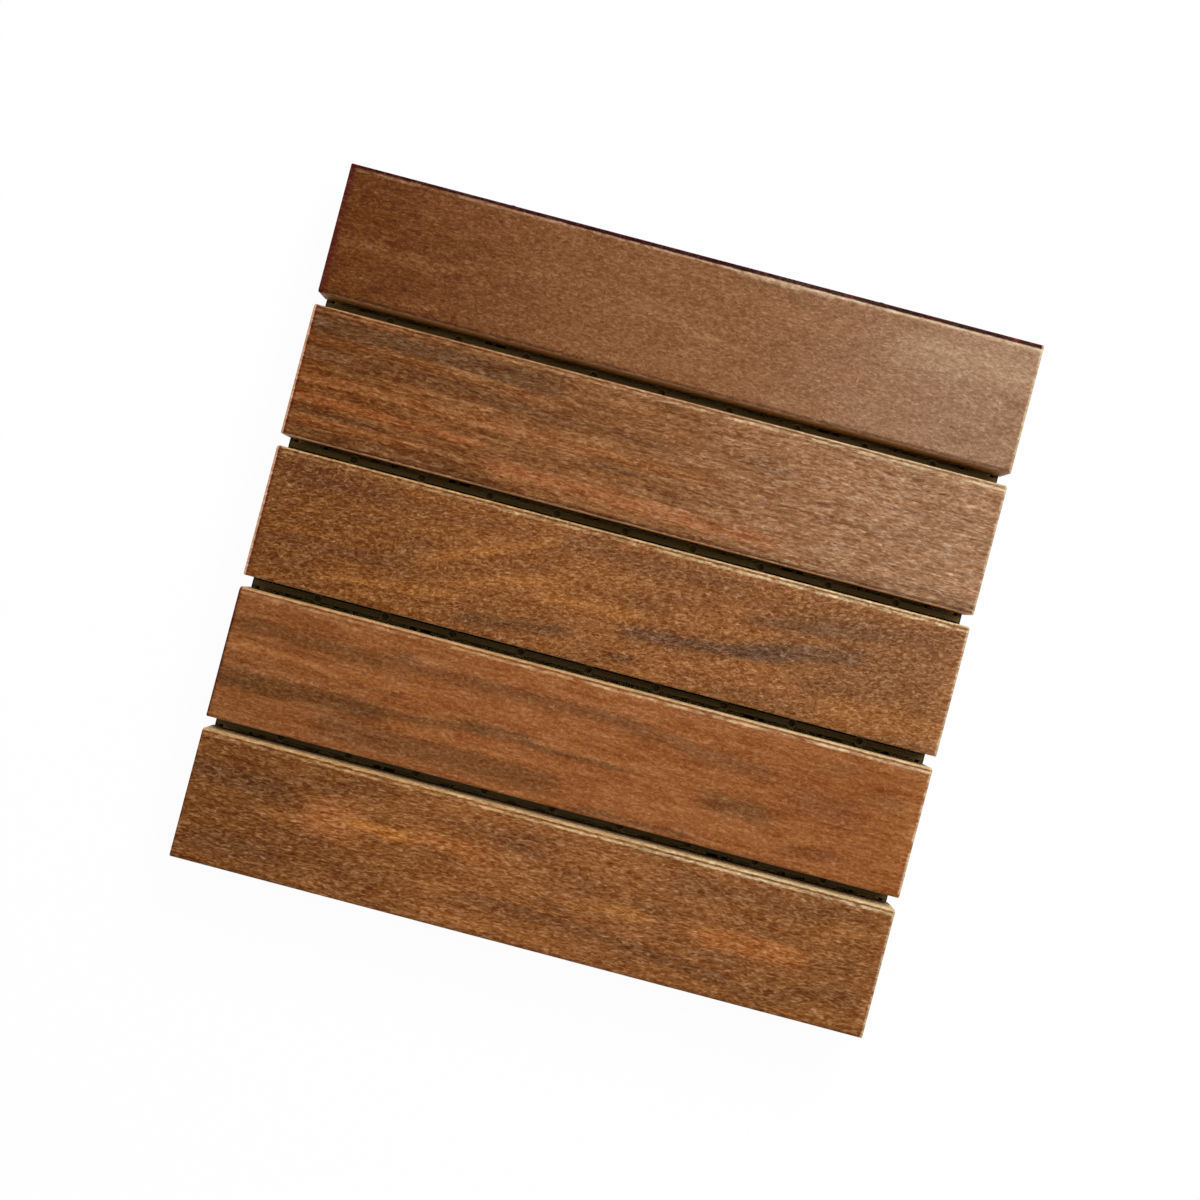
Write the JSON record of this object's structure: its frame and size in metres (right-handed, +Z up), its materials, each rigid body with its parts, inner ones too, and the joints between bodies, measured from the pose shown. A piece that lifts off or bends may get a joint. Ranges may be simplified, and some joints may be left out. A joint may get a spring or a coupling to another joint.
{
  "type": "interlocking deck tile",
  "caption": "Square decking tile: hardwood slats with drain gaps, screwed from below to a moulded grid with feet, snap rings on two sides and snap pegs on the other two.",
  "frame": {"origin": "centre of the tile on the ground, at the bottom of its middle foot", "axes": "+Z up, out of the walking surface; +X along the slats; slat 1 lies at the +Y edge; rings on the +X and +Y sides, pegs on the -X and -Y sides"},
  "size_m": [0.3062, 0.3062, 0.029],
  "materials": {
    "hardwood": "oiled, satin",
    "grid_plastic": "moulded, matt",
    "screw_steel": "stainless"
  },
  "bodies": {
    "root": {"slat_1": "hardwood", "slat_2": "hardwood", "slat_3": "hardwood", "slat_4": "hardwood", "slat_5": "hardwood", "base_grid": "grid_plastic", "slat_screws": "screw_steel"}
  },
  "joints": []
}
